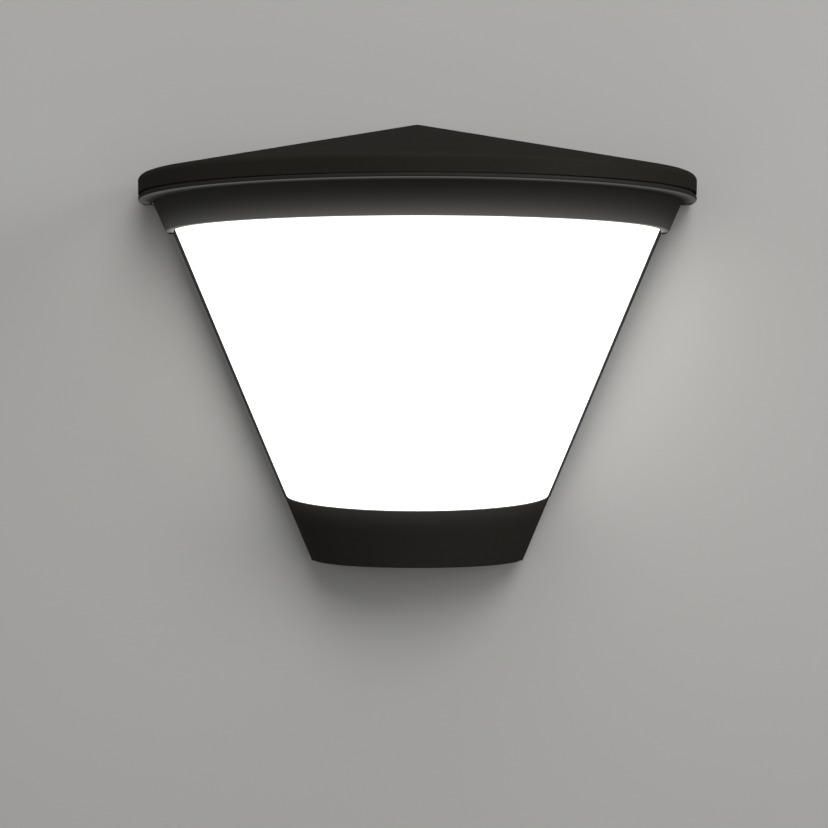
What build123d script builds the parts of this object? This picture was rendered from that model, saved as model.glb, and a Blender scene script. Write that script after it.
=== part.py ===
from build123d import *
import math
import os

# Outdoor wall lantern with a half round plan: roof cap, collar, opal cone and base cup on a cast
# rear housing, which hangs on a steel bracket. Millimetres and degrees.
# Origin: middle of the wall screw pattern, on the wall. +Z is up and the lamp stands out towards -Y.
# A depth is a distance in front of the wall.

os.makedirs("parts", exist_ok=True)

# Overall form
rim_radius = 125.0
foot_radius = 60.3
eaves_z = 53.3
collar_height = 13.1
diffuser_show = 119.2
cup_height = 30.4
cup_floor_rise = 5.1
roof_rise = 25.6

# Collar and flange
flange_overhang = 6.2
flange_thickness = 1.6
flange_round = 0.6
lip_draw_in = 5.6
lip_step = 4.5
lip_gap = 0.7
lip_round = 0.6
ledge_drop = 1.0
ledge_width = 2.2

# Roof cap
seam_front = 0.15
seam_rear = 1.7
seam_round = 0.2
seam_set_back = 1.2
fascia_height = 7.6
fascia_round = 2.8
cap_wall = 2.5
cap_rib_thickness = 2.0
cap_rib_angles = (-60, -30, 0, 30, 60)
cap_rib_depth = 5.0
hold_ring_width = 2.0
tongue_width = 84.0
tongue_thickness = 2.2
tongue_drop = 16.0

# Diffuser
diffuser_wall = 2.0
diffuser_flange = 1.8
spigot_length = 6.0
gasket_thickness = 0.8

# Base cup
cup_proud = 0.45
cup_wall = 2.5
cup_round = 1.2
cup_boss_radius = 4.5
cup_boss_length = 12.0
drain_radius = 2.5
drain_depth = 24.0
foot_gasket_width = 1.2

# Rear frame of the housing
wall_gasket_thickness = 1.0
frame_depth = 11.0
plate_thickness = 2.0
frame_wall = 2.5
rail_depth = 12.8
rail_proud_top = 1.4
rail_proud_foot = 0.9
reflector_thickness = 0.5
reflector_margin = 3.0

# Wiring box of the housing
box_depth = 30.0
box_wall = 2.5
box_corner = 5.0
box_top_margin = 6.2
box_foot_margin = 19.0
cleat_width = 40.0
cleat_drop = 10.0
cleat_thickness = 3.0

# Wall bracket
sheet = 2.0
bend_radius = 1.2
bar_width = 96.0
bar_height = 30.0
bar_corner = 6.0
strap_width = 30.0
slot_spacing = 60.0
slot_length = 12.0
slot_width = 5.0
cable_hole_radius = 9.0
grommet_lip = 1.5
grommet_seat = 0.8
cable_radius = 4.75
grommet_length = 6.0
prong_height = 7.5
hook_gap = 1.0
foot_rise = 15.0

# Screws
m3_radius = 1.5
m3_head_radius = 2.8
m3_head_height = 2.0
m4_radius = 2.0
m4_head_radius = 3.5
m4_head_height = 2.4
screw_boss_radius = 4.5
screw_boss_length = 7.0
cap_screw_x = 30.0
cap_screw_drop = 8.0
base_screw_x = 30.0
base_screw_drop = 15.0
base_screw_length = 12.0
lock_screw_depth = 5.4
lock_screw_length = 25.0

# Light source
board_side_margin = 5.0
board_margin = 4.0
board_thickness = 1.6
board_corner = 3.0
board_screw_inset = 4.5
led_columns = 4
led_rows = 6
led_pitch_x = 15.0
led_pitch_z = 13.0
led_size = 3.2
led_height = 0.9
connector_width = 9.0
connector_height = 9.0
connector_depth = 7.0

# Driver
driver_width = 60.0
driver_height = 28.0
driver_depth = 13.0
driver_lid_thickness = 1.5
driver_round = 2.0
driver_ear = 6.0
driver_ear_thickness = 2.0
driver_foot_gap = 2.5
driver_side_gap = 1.5

# Terminal block
pole_pitch = 11.0
pole_count = 3
pole_width = 7.6
terminal_height = 19.0
terminal_depth = 12.0
terminal_web_depth = 5.0
terminal_web_margin = 2.4
terminal_inset = 12.0
terminal_gap = 18.0
sleeve_radius = 2.4
sleeve_bore = 1.4
sleeve_inset = 1.4
terminal_screw_radius = 1.4
terminal_screw_z = 5.0
terminal_screw_inset = 1.4

# Earth point and leads
earth_x = 10.0
earth_boss_length = 2.5
ring_radius = 4.2
ring_thickness = 0.8
ring_tail_width = 4.0
ring_tail_length = 8.4
lead_radius = 1.0
led_lead_radius = 0.8
led_lead_pitch = 3.6
lead_hole_radius = 4.0
lead_grommet_lip = 1.2
lead_grommet_flange = 0.8
lead_entry = 4.0
lead_bow = 13.0
lead_fall = 6.0
bend_share = 0.45

# Clearances
fit = 0.3
slip = 0.1
thread_gap = 0.1

# Levels and radii that follow
lip_z = eaves_z - collar_height
cup_top_z = lip_z - diffuser_show
cup_bottom_z = cup_top_z - cup_height
flange_top_z = eaves_z + flange_thickness
cap_bottom_z = flange_top_z + seam_front
cap_rear_z = flange_top_z + seam_rear
apex_z = cap_bottom_z + fascia_height + roof_rise
ledge_z = eaves_z - ledge_drop
diffuser_flange_z = ledge_z + gasket_thickness
diffuser_top_z = diffuser_flange_z + diffuser_flange
collar_top_radius = rim_radius - flange_overhang
lip_radius = collar_top_radius - lip_draw_in
diffuser_lip_radius = lip_radius - lip_step
draft = (diffuser_lip_radius - foot_radius) / diffuser_show


def cone(z):
    """Outer radius of the opal cone at a height, carried on above and below it."""
    return foot_radius + (z - cup_top_z) * draft


ledge_radius = cone(ledge_z) + lip_gap
well_radius = ledge_radius + ledge_width
diffuser_flange_radius = well_radius - fit
plate_back = frame_depth - plate_thickness
diffuser_back = frame_depth + reflector_thickness + fit
cup_inner_drop = cup_wall - cup_proud


def half_chord(radius, depth):
    """Half width of a circle about the vertical axis, measured at a depth in front of the wall."""
    return math.sqrt(radius**2 - depth**2)


frame_top_half = half_chord(cone(lip_z), frame_depth) + rail_proud_top
frame_foot_half = half_chord(cone(cup_top_z), frame_depth) + rail_proud_foot
frame_slope = (frame_top_half - frame_foot_half) / diffuser_show


def frame_half(z):
    """Half width of the rear frame at a height."""
    return frame_foot_half + (z - cup_top_z) * frame_slope


def frame_points(low, high, inset):
    """Corners of the rear frame's outline between two heights, drawn in at the sides."""
    low_half = frame_half(low) - inset
    high_half = frame_half(high) - inset
    return [(-low_half, low), (low_half, low), (high_half, high), (-high_half, high)]


def at_depth(depth):
    """Upright plane at a depth, facing away from the wall: its x is X and its y is Z."""
    return Plane.XZ.offset(depth)


def half_turn(outline, mode=Mode.ADD, plane=Plane.XZ):
    """Turns an outline of (radius, height, rounding) points through the half circle before its plane."""
    with BuildSketch(plane) as profile:
        with BuildLine():
            FilletPolyline([(r, z) for r, z, _ in outline], radius=[c for _, _, c in outline], close=True)
        make_face()
    revolve(profile.sketch, axis=Axis(plane.origin, -plane.y_dir), revolution_arc=180, mode=mode)


def trim_behind(depth):
    """Takes away what lies nearer to the wall than a depth."""
    split(bisect_by=at_depth(depth), keep=Keep.TOP)


def flat_face(points, mode=Mode.ADD):
    """Fills a closed outline on the current sketch."""
    with BuildLine() as outline:
        Polyline(*points, close=True)
    make_face(outline.edges(), mode=mode)


def screws_along_y(places, depth, head_radius, head_height, radius, length):
    """Cylinder head screws driven forwards, whose heads seat at a depth."""
    with BuildSketch(at_depth(depth - head_height)) as heads:
        with Locations(*places):
            Circle(head_radius)
    extrude(heads.sketch, amount=head_height)
    with BuildSketch(at_depth(depth)) as shanks:
        with Locations(*places):
            Circle(radius)
    extrude(shanks.sketch, amount=length)


def finish(builder, name):
    """Names a finished piece and writes it out."""
    builder.part.label = name
    export_step(builder.part, f"parts/{name}.step")


floor_tilt = math.tan(math.radians(cup_floor_rise))
floor_normal = (0, floor_tilt, 1)
bottom_plane = Plane(origin=(0, 0, cup_bottom_z), x_dir=(1, 0, 0), z_dir=floor_normal)
cup_floor_plane = bottom_plane.offset(cup_wall)
seat_normal = (0, seam_front - seam_rear, rim_radius)
cap_seat_plane = Plane(origin=(0, 0, cap_rear_z), x_dir=(1, 0, 0), z_dir=seat_normal)
cap_turning_plane = Plane(origin=cap_seat_plane.origin, x_dir=(1, 0, 0), z_dir=-cap_seat_plane.y_dir)

box_half_width = driver_width / 2 + driver_ear + driver_side_gap + box_wall
box_top_z = lip_z - box_top_margin
box_bottom_z = cup_top_z + box_foot_margin
box_middle_z = (box_top_z + box_bottom_z) / 2
box_height = box_top_z - box_bottom_z
box_inner_width = 2 * (box_half_width - box_wall)
box_inner_height = box_height - 2 * box_wall
box_inner_depth = box_depth - box_wall
box_inner_top_z = box_top_z - box_wall
box_inner_bottom_z = box_bottom_z + box_wall

hook_seat_z = box_inner_top_z - cleat_drop
prong_top_z = hook_seat_z + prong_height
hook_reach = plate_back + cleat_thickness + hook_gap + sheet
foot_reach = plate_back - fit
foot_z = cup_bottom_z + frame_wall + floor_tilt * frame_depth + foot_rise - sheet

tongue_front = plate_back - slip
tongue_back = tongue_front - tongue_thickness
cap_screw_z = flange_top_z - cap_screw_drop
cap_screw_places = [(-cap_screw_x, cap_screw_z), (cap_screw_x, cap_screw_z)]
base_screw_z = cup_top_z - base_screw_drop
base_screw_places = [(-base_screw_x, base_screw_z), (base_screw_x, base_screw_z)]

board_half_width = box_half_width - board_side_margin
board_low_z = box_bottom_z + board_margin
board_high_z = box_top_z - board_margin
board_height = board_high_z - board_low_z
board_screw_places = [
    (side * (board_half_width - board_screw_inset), z)
    for side in (-1, 1)
    for z in (board_low_z + board_screw_inset, board_high_z - board_screw_inset)
]

driver_z = box_inner_bottom_z + driver_foot_gap + driver_height / 2
driver_top_z = driver_z + driver_height / 2
driver_back = box_inner_depth - driver_depth
driver_ear_x = driver_width / 2 + driver_ear / 2
driver_screw_places = [(-driver_ear_x, driver_z), (driver_ear_x, driver_z)]

terminal_x = terminal_inset - driver_width / 2
terminal_low_z = driver_top_z + terminal_gap
terminal_z = terminal_low_z + terminal_height / 2
terminal_back = box_inner_depth - terminal_depth
terminal_width = pole_pitch * (pole_count - 1) + pole_width
pole_x = [terminal_x + pole_pitch * (i - (pole_count - 1) / 2) for i in range(pole_count)]
terminal_lead_depth = box_inner_depth - terminal_depth / 2
terminal_fixing_x = (pole_x[0] + pole_x[1]) / 2
terminal_screw_places = [
    (x, terminal_z + side * terminal_screw_z) for x in pole_x for side in (-1, 1)
]

earth_z = terminal_z
earth_tail_z = earth_z - ring_tail_length
earth_seat = box_inner_depth - earth_boss_length
earth_lead_depth = earth_seat - ring_thickness - lead_radius - slip
lead_hole_x = led_pitch_x * (led_columns - 2) / 2
lead_hole_z = driver_top_z + terminal_gap / 2 + led_lead_pitch
led_lead_x = [lead_hole_x - led_lead_pitch / 2, lead_hole_x + led_lead_pitch / 2]
board_front = box_depth + board_thickness
connector_lead_depth = board_front + connector_depth - led_lead_pitch / 2
connector_low_z = lead_hole_z + connector_depth
connector_z = connector_low_z + connector_height / 2

# Wall bracket: strap with a hook at its head and a foot at its end, and a bar with the wall slots
with BuildPart() as wall_bracket:
    with BuildSketch(Plane.YZ):
        with BuildLine():
            FilletPolyline(
                (0, foot_z),
                (-foot_reach, foot_z),
                (-foot_reach, foot_z + sheet),
                (-sheet, foot_z + sheet),
                (-sheet, hook_seat_z - sheet),
                (-hook_reach, hook_seat_z - sheet),
                (-hook_reach, prong_top_z),
                (-hook_reach + sheet, prong_top_z),
                (-hook_reach + sheet, hook_seat_z),
                (0, hook_seat_z),
                radius=[bend_radius + sheet, 0, 0, bend_radius, bend_radius,
                        bend_radius + sheet, 0, 0, 0, bend_radius + sheet],
                close=True,
            )
        make_face()
    extrude(amount=strap_width / 2, both=True)
    with BuildSketch(at_depth(0)):
        RectangleRounded(bar_width, bar_height, bar_corner)
    extrude(amount=sheet)
    with BuildSketch(at_depth(0)):
        with Locations((-slot_spacing / 2, 0), (slot_spacing / 2, 0)):
            SlotOverall(slot_length, slot_width)
        Circle(cable_hole_radius)
    extrude(amount=sheet, mode=Mode.SUBTRACT)
    with BuildSketch(at_depth(0)):
        Circle(cable_hole_radius + grommet_lip)
    extrude(amount=grommet_seat, mode=Mode.SUBTRACT)
    with BuildSketch(Plane.XY.offset(foot_z)):
        with Locations((0, -lock_screw_depth)):
            Circle(m4_radius + fit)
    extrude(amount=sheet, mode=Mode.SUBTRACT)
finish(wall_bracket, "wall_bracket")

# Rubber bush in the bracket's cable hole, with a thin lip behind and a longer collar in front
with BuildPart() as cable_grommet:
    with BuildSketch(Plane.XY):
        neck_radius = cable_hole_radius - slip
        lip_edge = cable_hole_radius + grommet_lip - slip
        flat_face([
            (cable_radius, 0),
            (lip_edge, 0),
            (lip_edge, -grommet_seat + slip),
            (neck_radius, -grommet_seat + slip),
            (neck_radius, -sheet - slip),
            (lip_edge, -sheet - slip),
            (neck_radius, -grommet_length),
            (cable_radius, -grommet_length),
        ])
    revolve(axis=Axis.Y)
finish(cable_grommet, "cable_grommet")

# Cast housing: collar and flange, rear frame, rails beside the diffuser, and the wiring box
with BuildPart() as housing:
    half_turn([
        (lip_radius, lip_z, lip_round),
        (collar_top_radius, eaves_z, lip_round),
        (rim_radius, eaves_z, flange_round),
        (rim_radius, flange_top_z, seam_round),
        (well_radius, flange_top_z, 0),
        (well_radius, ledge_z, 0),
        (ledge_radius, ledge_z, 0),
        (cone(lip_z) + lip_gap, lip_z, lip_round),
    ])
    trim_behind(wall_gasket_thickness)
    with BuildSketch(at_depth(wall_gasket_thickness)):
        flat_face(frame_points(cup_bottom_z, flange_top_z, 0))
    extrude(amount=frame_depth - wall_gasket_thickness)
    with BuildSketch(at_depth(wall_gasket_thickness)):
        recess_bottom_z = cup_bottom_z + frame_wall + floor_tilt * frame_depth
        flat_face(frame_points(recess_bottom_z, flange_top_z - frame_wall, frame_wall))
    extrude(amount=plate_back - wall_gasket_thickness, mode=Mode.SUBTRACT)
    with BuildSketch(at_depth(frame_depth)):
        for side in (-1, 1):
            flat_face([
                (side * frame_half(cup_top_z), cup_top_z),
                (side * frame_half(ledge_z), ledge_z),
                (side * (half_chord(cone(ledge_z), diffuser_back) + fit), ledge_z),
                (side * (half_chord(cone(cup_top_z), diffuser_back) + fit), cup_top_z),
            ])
    extrude(amount=rail_depth - frame_depth)
    with BuildSketch(at_depth(plate_back)):
        with Locations((0, box_middle_z)):
            RectangleRounded(2 * box_half_width, box_height, box_corner)
    extrude(amount=box_depth - plate_back)
    fillet(faces().sort_by(Axis.Y).filter_by(Plane.XZ)[0].edges(), box_wall - fit)
    with BuildSketch(at_depth(plate_back)):
        with Locations((0, box_middle_z)):
            RectangleRounded(box_inner_width, box_inner_height, box_corner - box_wall)
    extrude(amount=box_inner_depth - plate_back, mode=Mode.SUBTRACT)
    with BuildSketch(at_depth(plate_back)):
        with Locations((0, hook_seat_z)):
            Rectangle(cleat_width, cleat_drop + box_wall, align=(Align.CENTER, Align.MIN))
    extrude(amount=cleat_thickness)
    with BuildSketch(at_depth(frame_depth)):
        with Locations(*cap_screw_places):
            Circle(screw_boss_radius)
    extrude(amount=screw_boss_length)
    with BuildSketch(at_depth(earth_seat)):
        with Locations((earth_x, earth_z)):
            Circle(ring_radius)
    extrude(amount=earth_boss_length)
    split(bisect_by=bottom_plane, keep=Keep.TOP)
    with BuildSketch(at_depth(plate_back)):
        with Locations(*cap_screw_places):
            Circle(m4_radius + thread_gap)
        with Locations(*base_screw_places):
            Circle(m4_radius + fit)
    extrude(amount=frame_depth + screw_boss_length - plate_back, mode=Mode.SUBTRACT)
    with BuildSketch(at_depth(earth_seat)):
        with Locations(*board_screw_places, *driver_screw_places, (terminal_fixing_x, terminal_z)):
            Circle(m3_radius + thread_gap)
        with Locations((earth_x, earth_z)):
            Circle(m4_radius + thread_gap)
        with Locations((lead_hole_x, lead_hole_z)):
            Circle(lead_hole_radius)
    extrude(amount=box_depth - earth_seat, mode=Mode.SUBTRACT)
    with BuildSketch(Plane.XY.offset(flange_top_z - frame_wall)):
        with Locations((0, -plate_back)):
            Rectangle(tongue_width + 2 * fit, tongue_thickness + 2 * fit, align=(Align.CENTER, Align.MIN))
    extrude(amount=frame_wall, mode=Mode.SUBTRACT)
    with BuildSketch(Plane.XY.offset(cup_bottom_z)):
        with Locations((0, -lock_screw_depth)):
            Circle(m4_radius + fit)
    extrude(amount=foot_rise, mode=Mode.SUBTRACT)
finish(housing, "housing")

# Foam frame that seals the housing's rear edge to the wall
with BuildPart() as wall_gasket:
    with BuildSketch(at_depth(0)):
        flat_face(frame_points(cup_bottom_z + fit, flange_top_z - fit, fit))
        flat_face(
            frame_points(cup_bottom_z + frame_wall, flange_top_z - frame_wall, frame_wall), Mode.SUBTRACT
        )
    extrude(amount=wall_gasket_thickness)
finish(wall_gasket, "wall_gasket")

# Base cup: carries the cone on below the diffuser, with a floor that rises to the front
with BuildPart() as cup_hollow:
    half_turn([
        (0, cup_top_z, 0),
        (cone(cup_top_z) - cup_inner_drop, cup_top_z, 0),
        (cone(cup_bottom_z) - cup_inner_drop, cup_bottom_z, 0),
        (0, cup_bottom_z, 0),
    ])
    split(bisect_by=cup_floor_plane, keep=Keep.TOP)

with BuildPart() as base_cup:
    half_turn([
        (0, cup_top_z, 0),
        (cone(cup_top_z) + cup_proud, cup_top_z, 0),
        (cone(cup_bottom_z) + cup_proud, cup_bottom_z, 0),
        (0, cup_bottom_z, 0),
    ])
    split(bisect_by=bottom_plane, keep=Keep.TOP)
    trim_behind(frame_depth)
    fillet(faces().sort_by(Axis.Z)[0].edges().filter_by(GeomType.LINE, reverse=True), cup_round)
    add(cup_hollow.part, mode=Mode.SUBTRACT)
    with BuildSketch(at_depth(frame_depth)):
        with Locations(*base_screw_places):
            Circle(cup_boss_radius)
    extrude(amount=cup_boss_length)
    with BuildSketch(at_depth(frame_depth)):
        for x, z in base_screw_places:
            with Locations((x, z)):
                Rectangle(2 * m4_radius, z - cup_bottom_z, align=(Align.CENTER, Align.MAX))
    extrude(amount=cup_boss_length)
    split(bisect_by=bottom_plane, keep=Keep.TOP)
    with BuildSketch(at_depth(frame_depth)):
        with Locations(*base_screw_places):
            Circle(m4_radius + thread_gap)
    extrude(amount=base_screw_length - plate_thickness, mode=Mode.SUBTRACT)
    with BuildSketch(Plane.XY.offset(cup_bottom_z)):
        with Locations((0, -drain_depth)):
            Circle(drain_radius)
    extrude(amount=cup_height, mode=Mode.SUBTRACT)
    half_turn([
        (cone(cup_top_z) - cup_inner_drop - slip, cup_top_z + slip, 0),
        (cone(cup_top_z) - cup_inner_drop + foot_gasket_width, cup_top_z + slip, 0),
        (cone(cup_top_z) - cup_inner_drop + foot_gasket_width, cup_top_z - gasket_thickness, 0),
        (cone(cup_top_z) - cup_inner_drop - slip, cup_top_z - gasket_thickness, 0),
    ], mode=Mode.SUBTRACT)
finish(base_cup, "base_cup")

# Silicone strip in the rim of the cup, under the shoulder of the diffuser
with BuildPart() as foot_gasket:
    half_turn([
        (cone(cup_top_z) - cup_inner_drop, cup_top_z, 0),
        (cone(cup_top_z) - cup_inner_drop + foot_gasket_width - slip, cup_top_z, 0),
        (cone(cup_top_z) - cup_inner_drop + foot_gasket_width - slip, cup_top_z - gasket_thickness, 0),
        (cone(cup_top_z) - cup_inner_drop, cup_top_z - gasket_thickness, 0),
    ])
    trim_behind(frame_depth)
finish(foot_gasket, "foot_gasket")

# Opal diffuser: half cone with a hanging flange at its head and a stepped spigot at its foot
with BuildPart() as diffuser:
    shoulder_z = cup_top_z + fit
    spigot_z = cup_top_z - spigot_length
    spigot_step = cup_inner_drop + fit
    half_turn([
        (cone(spigot_z) - spigot_step, spigot_z, 0),
        (cone(shoulder_z) - spigot_step, shoulder_z, 0),
        (cone(shoulder_z), shoulder_z, 0),
        (cone(diffuser_flange_z), diffuser_flange_z, 0),
        (diffuser_flange_radius, diffuser_flange_z, 0),
        (diffuser_flange_radius, diffuser_top_z, 0),
        (cone(diffuser_top_z) - diffuser_wall, diffuser_top_z, 0),
        (cone(shoulder_z + spigot_step) - diffuser_wall, shoulder_z + spigot_step, 0),
        (cone(shoulder_z) - spigot_step - diffuser_wall, shoulder_z, 0),
        (cone(spigot_z) - spigot_step - diffuser_wall, spigot_z, 0),
    ])
    trim_behind(diffuser_back)
finish(diffuser, "diffuser")

# Silicone strip on the collar's ledge
with BuildPart() as diffuser_gasket:
    half_turn([
        (ledge_radius + slip, ledge_z, 0),
        (well_radius - slip, ledge_z, 0),
        (well_radius - slip, diffuser_flange_z, 0),
        (ledge_radius + slip, diffuser_flange_z, 0),
    ])
    trim_behind(rail_depth + fit)
finish(diffuser_gasket, "diffuser_gasket")

# Rubber strip in the seam between the flange and the cap, set back from the edge and thickest at the rear
with BuildPart() as cap_gasket:
    half_turn([
        (well_radius + ledge_width, flange_top_z, 0),
        (rim_radius - seam_set_back, flange_top_z, 0),
        (rim_radius - seam_set_back, cap_rear_z, 0),
        (well_radius + ledge_width, cap_rear_z, 0),
    ])
    split(bisect_by=cap_seat_plane, keep=Keep.BOTTOM)
    trim_behind(frame_depth)
finish(cap_gasket, "cap_gasket")

# Roof cap: hollow half cone with a rear wall, radial ribs, a ring over the diffuser's head, and a tongue.
# Its outside leans forwards a little, so that the seam under it opens towards the wall.
roof_slope = roof_rise / rim_radius
cap_back = wall_gasket_thickness
inner_rim = rim_radius - cap_wall
hold_ring_outer = cone(diffuser_top_z) - slip
hold_ring_inner = hold_ring_outer - hold_ring_width


def roof_underside(radius):
    """Height of the roof's inner face at a radius."""
    return apex_z - cap_wall - roof_slope * radius


with BuildPart() as cap_hollow:
    half_turn([
        (0, cap_bottom_z, 0),
        (inner_rim, cap_bottom_z, 0),
        (inner_rim, roof_underside(inner_rim), 0),
        (0, roof_underside(0), 0),
    ])
    trim_behind(cap_back + cap_wall)

with BuildPart() as cap_ribs:
    half_turn([
        (0, roof_underside(0) - cap_rib_depth, 0),
        (hold_ring_inner, roof_underside(hold_ring_inner) - cap_rib_depth, 0),
        (hold_ring_inner, roof_underside(hold_ring_inner) + slip, 0),
        (0, roof_underside(0) + slip, 0),
    ])
    trim_behind(cap_back + cap_wall)
    with BuildSketch(Plane.XY.offset(cap_bottom_z)):
        for angle in cap_rib_angles:
            with Locations(Location((0, 0), angle - 90)):
                Rectangle(rim_radius, cap_rib_thickness, align=(Align.MIN, Align.CENTER))
    extrude(amount=apex_z - cap_bottom_z, mode=Mode.INTERSECT)

with BuildPart() as cap_hold_ring:
    half_turn([
        (hold_ring_inner, diffuser_top_z + fit, 0),
        (hold_ring_outer, diffuser_top_z + fit, 0),
        (hold_ring_outer, roof_underside(hold_ring_outer) + slip, 0),
        (hold_ring_inner, roof_underside(hold_ring_inner) + slip, 0),
    ])
    trim_behind(rail_depth + fit)

with BuildPart() as roof_cap:
    half_turn([
        (0, 0, 0),
        (rim_radius, 0, 0),
        (rim_radius, fascia_height, fascia_round),
        (0, fascia_height + roof_rise, 0),
    ], plane=cap_turning_plane)
    trim_behind(cap_back)
    add(cap_hollow.part, mode=Mode.SUBTRACT)
    add(cap_ribs.part)
    add(cap_hold_ring.part)
    with BuildSketch(Plane.XY.offset(cap_rear_z)):
        with Locations((0, -cap_back)):
            Rectangle(tongue_width, tongue_front - cap_back, align=(Align.CENTER, Align.MAX))
    extrude(amount=cap_wall)
    with BuildSketch(at_depth(tongue_back)):
        with Locations((0, cap_rear_z + cap_wall)):
            Rectangle(tongue_width, tongue_drop + cap_wall, align=(Align.CENTER, Align.MAX))
    extrude(amount=tongue_thickness)
    with BuildSketch(at_depth(tongue_back)):
        for x, z in cap_screw_places:
            with Locations((x, z)):
                Circle(m4_radius + fit)
                Rectangle(2 * (m4_radius + fit), tongue_drop, align=(Align.CENTER, Align.MAX))
    extrude(amount=tongue_thickness, mode=Mode.SUBTRACT)
finish(roof_cap, "roof_cap")

# Screws: two clamp the cap's tongue, two hold the cup, and one locks the lamp on its bracket
with BuildPart() as cap_screws:
    screws_along_y(cap_screw_places, tongue_back, m4_head_radius, m4_head_height, m4_radius,
                   frame_depth + screw_boss_length - tongue_back)
finish(cap_screws, "cap_screws")

with BuildPart() as base_screws:
    screws_along_y(base_screw_places, plate_back, m4_head_radius, m4_head_height, m4_radius,
                   base_screw_length - fit)
finish(base_screws, "base_screws")

with BuildPart() as lock_screw:
    lock_seat_z = cup_bottom_z + floor_tilt * (lock_screw_depth - m4_head_radius)
    with BuildSketch(Plane.XY.offset(lock_seat_z - m4_head_height)):
        with Locations((0, -lock_screw_depth)):
            Circle(m4_head_radius)
    extrude(amount=m4_head_height)
    with BuildSketch(Plane.XY.offset(lock_seat_z)):
        with Locations((0, -lock_screw_depth)):
            Circle(m4_radius)
    extrude(amount=lock_screw_length)
finish(lock_screw, "lock_screw")

# White sheet that covers the rear frame inside the diffuser
with BuildPart() as reflector:
    sheet_low_z = cup_top_z + reflector_margin
    sheet_high_z = ledge_z - reflector_margin
    sheet_inset = diffuser_wall + reflector_margin
    with BuildSketch(at_depth(frame_depth)):
        flat_face(frame_points(sheet_low_z, sheet_high_z, sheet_inset))
        with Locations((0, box_middle_z)):
            RectangleRounded(
                2 * (box_half_width + fit), box_height + 2 * fit, box_corner + fit, mode=Mode.SUBTRACT
            )
        with Locations(*cap_screw_places):
            Circle(screw_boss_radius + fit, mode=Mode.SUBTRACT)
    extrude(amount=reflector_thickness)
finish(reflector, "reflector")

# Light source: metal core board on the front of the wiring box, with its packages, connector and screws
with BuildPart() as led_board:
    with BuildSketch(at_depth(box_depth)):
        with Locations((0, box_middle_z)):
            RectangleRounded(2 * board_half_width, board_height, board_corner)
        with Locations(*board_screw_places):
            Circle(m3_radius + fit, mode=Mode.SUBTRACT)
        with Locations((lead_hole_x, lead_hole_z)):
            Circle(lead_hole_radius + lead_grommet_lip + fit, mode=Mode.SUBTRACT)
    extrude(amount=board_thickness)
finish(led_board, "led_board")

with BuildPart() as led_packages:
    with BuildSketch(at_depth(board_front)):
        with Locations((0, box_middle_z)):
            with GridLocations(led_pitch_x, led_pitch_z, led_columns, led_rows):
                Rectangle(led_size, led_size)
    extrude(amount=led_height)
finish(led_packages, "led_packages")

with BuildPart() as led_connector:
    with BuildSketch(at_depth(board_front)):
        with Locations((lead_hole_x, connector_z)):
            Rectangle(connector_width, connector_height)
    extrude(amount=connector_depth)
    with BuildSketch(Plane.XY.offset(connector_low_z)):
        with Locations(*[(x, -connector_lead_depth) for x in led_lead_x]):
            Circle(led_lead_radius + slip)
    extrude(amount=lead_entry, mode=Mode.SUBTRACT)
finish(led_connector, "led_connector")

with BuildPart() as led_board_screws:
    for x, z in board_screw_places:
        with BuildSketch(at_depth(board_front)):
            with Locations((x, z)):
                Circle(m3_head_radius)
        extrude(amount=m3_head_height)
        with BuildSketch(at_depth(box_inner_depth)):
            with Locations((x, z)):
                Circle(m3_radius)
        extrude(amount=board_front - box_inner_depth)
finish(led_board_screws, "led_board_screws")

# Driver: potted case with a lid and two ears, screwed to the front wall of the wiring box
with BuildPart() as driver_case:
    with BuildSketch(at_depth(driver_back)):
        with Locations((0, driver_z)):
            RectangleRounded(driver_width, driver_height, driver_round)
    extrude(amount=driver_depth)
    with BuildSketch(at_depth(box_inner_depth - driver_ear_thickness)):
        with Locations((0, driver_z)):
            SlotOverall(driver_width + 2 * driver_ear, 2 * driver_ear)
        with Locations(*driver_screw_places):
            Circle(m3_radius + fit, mode=Mode.SUBTRACT)
    extrude(amount=driver_ear_thickness)
finish(driver_case, "driver_case")

with BuildPart() as driver_lid:
    with BuildSketch(at_depth(driver_back - driver_lid_thickness)):
        with Locations((0, driver_z)):
            RectangleRounded(driver_width, driver_height, driver_round)
    extrude(amount=driver_lid_thickness)
finish(driver_lid, "driver_lid")

with BuildPart() as driver_screws:
    screws_along_y(driver_screw_places, box_inner_depth - driver_ear_thickness, m3_head_radius,
                   m3_head_height, m3_radius, driver_ear_thickness + box_wall - fit)
finish(driver_screws, "driver_screws")

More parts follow.
